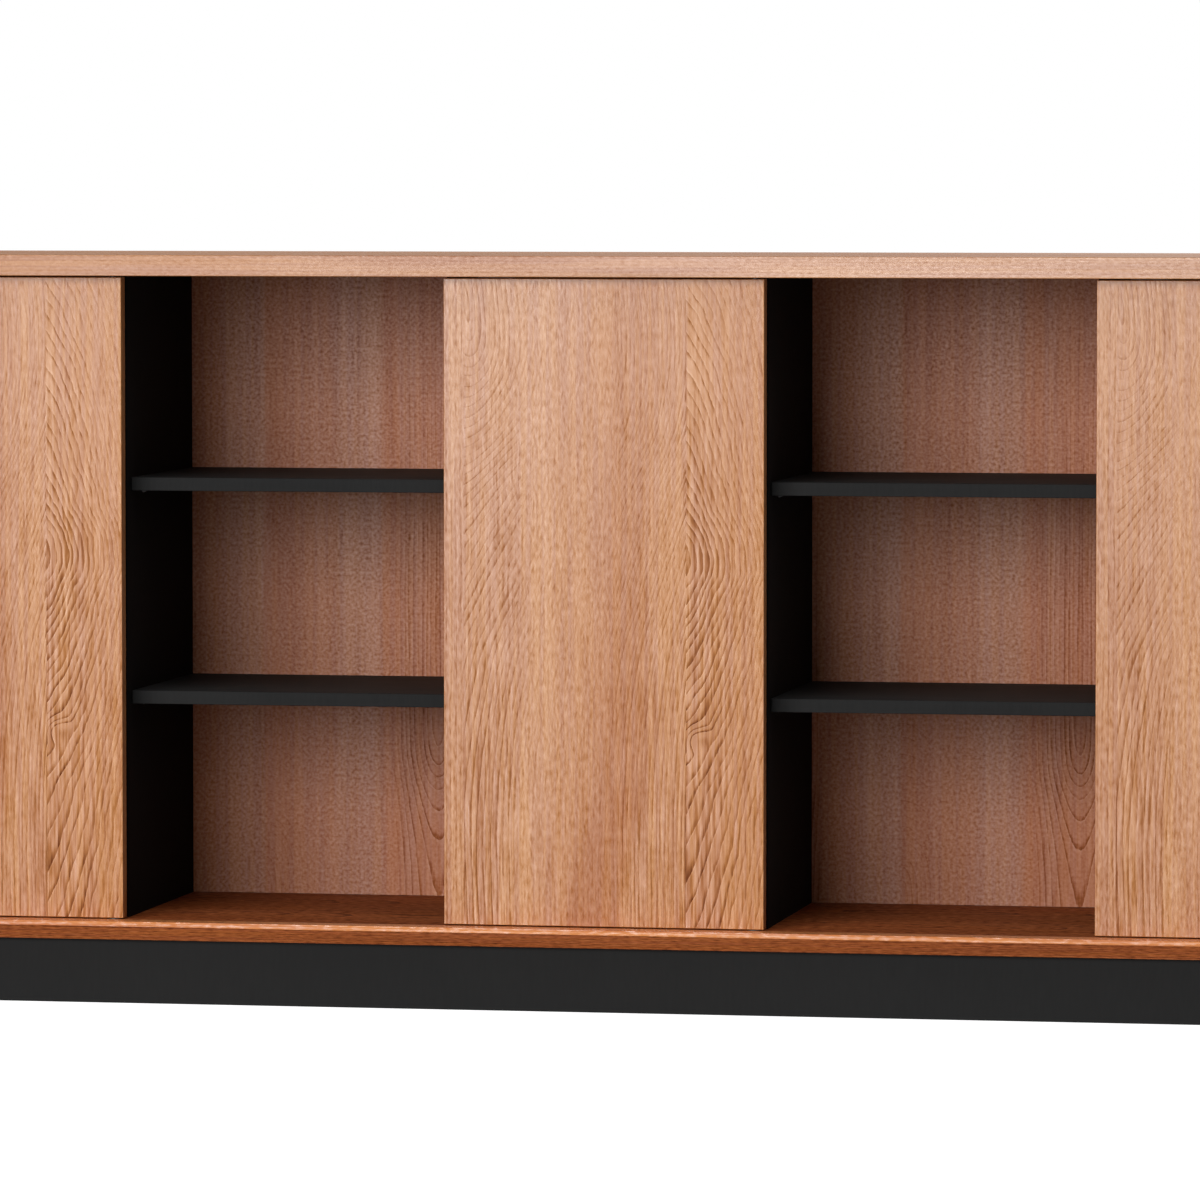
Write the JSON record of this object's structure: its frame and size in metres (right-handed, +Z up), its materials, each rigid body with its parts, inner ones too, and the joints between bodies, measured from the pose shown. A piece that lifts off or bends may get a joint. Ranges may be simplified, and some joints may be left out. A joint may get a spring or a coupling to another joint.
{
  "type": "shelf cabinet with doors",
  "caption": "Long low shelf cabinet on a recessed black plinth, with open bays between flat handle-less hinged doors, wood veneer and black boards.",
  "frame": {"origin": "on the floor, under the middle of the cabinet", "axes": "+X along the cabinet to the right seen from the front, -Y out of the front, +Z up"},
  "size_m": [2, 0.4, 0.9],
  "materials": {
    "oak_veneer": "warm brown oak veneer with open pores, satin lacquer",
    "base_veneer": "same veneer, redder and darker at the leaning edge",
    "back_veneer": "same veneer, matt",
    "black_lacquer": "black matt lacquer on board",
    "plinth_black": "black matt laminate on board",
    "bare_wood": "bare beech",
    "zinc_steel": "zinc-plated steel",
    "black_steel": "blackened steel pin",
    "brass_bush": "turned brass",
    "nylon": "black nylon",
    "catch_plastic": "moulded brown plastic",
    "ferrite": "sintered ferrite",
    "clear_rubber": "soft translucent dot",
    "black_plastic": "moulded black plastic"
  },
  "bodies": {
    "carcass": {"back_panel_1": "back_veneer", "back_panel_2": "back_veneer", "back_panel_3": "back_veneer", "back_panel_4": "back_veneer", "back_panel_5": "back_veneer", "back_screws": "zinc_steel", "base_dowels": "bare_wood", "base_panel": "base_veneer", "base_screws": "zinc_steel", "cam_bolts": "zinc_steel", "cam_housings": "zinc_steel", "catch_housings": "catch_plastic", "catch_magnets": "ferrite", "catch_screws": "zinc_steel", "divider_1": "black_lacquer", "divider_2": "black_lacquer", "divider_3": "black_lacquer", "divider_4": "black_lacquer", "door_bumpers": "clear_rubber", "end_panel_left": "black_lacquer", "end_panel_right": "black_lacquer", "floor_glides": "black_plastic", "pivot_bushes_lower": "brass_bush", "pivot_bushes_upper": "brass_bush", "pivot_washers": "nylon", "plinth_back": "plinth_black", "plinth_blocks": "bare_wood", "plinth_cross_1": "plinth_black", "plinth_cross_2": "plinth_black", "plinth_front": "plinth_black", "plinth_left": "plinth_black", "plinth_right": "plinth_black", "plinth_screws": "zinc_steel", "shelf_1_lower": "black_lacquer", "shelf_1_upper": "black_lacquer", "shelf_2_lower": "black_lacquer", "shelf_2_upper": "black_lacquer", "shelf_3_lower": "black_lacquer", "shelf_3_upper": "black_lacquer", "shelf_4_lower": "black_lacquer", "shelf_4_upper": "black_lacquer", "shelf_5_lower": "black_lacquer", "shelf_5_upper": "black_lacquer", "shelf_supports": "black_plastic", "top_dowels": "bare_wood", "top_panel": "oak_veneer"},
    "left_leaf": {"door_left": "oak_veneer", "pivot_left_upper": "black_steel", "pivot_left_lower": "black_steel", "strike_left": "zinc_steel"},
    "centre_leaf": {"door_centre": "oak_veneer", "pivot_centre_upper": "black_steel", "pivot_centre_lower": "black_steel", "strike_centre": "zinc_steel"},
    "right_leaf": {"door_right": "oak_veneer", "pivot_right_upper": "black_steel", "pivot_right_lower": "black_steel", "strike_right": "zinc_steel"}
  },
  "joints": [
    {"name": "left_door_swing", "type": "hinge", "parent": "carcass", "child": "left_leaf", "pos_m": [-0.599, -0.165, 0.4885], "axis": [0, 0, 1], "range_deg": [0, 105]},
    {"name": "centre_door_swing", "type": "hinge", "parent": "carcass", "child": "centre_leaf", "pos_m": [0.181, -0.165, 0.4885], "axis": [0, 0, 1], "range_deg": [0, 105]},
    {"name": "right_door_swing", "type": "hinge", "parent": "carcass", "child": "right_leaf", "pos_m": [0.961, -0.165, 0.4885], "axis": [0, 0, 1], "range_deg": [0, 105]}
  ]
}
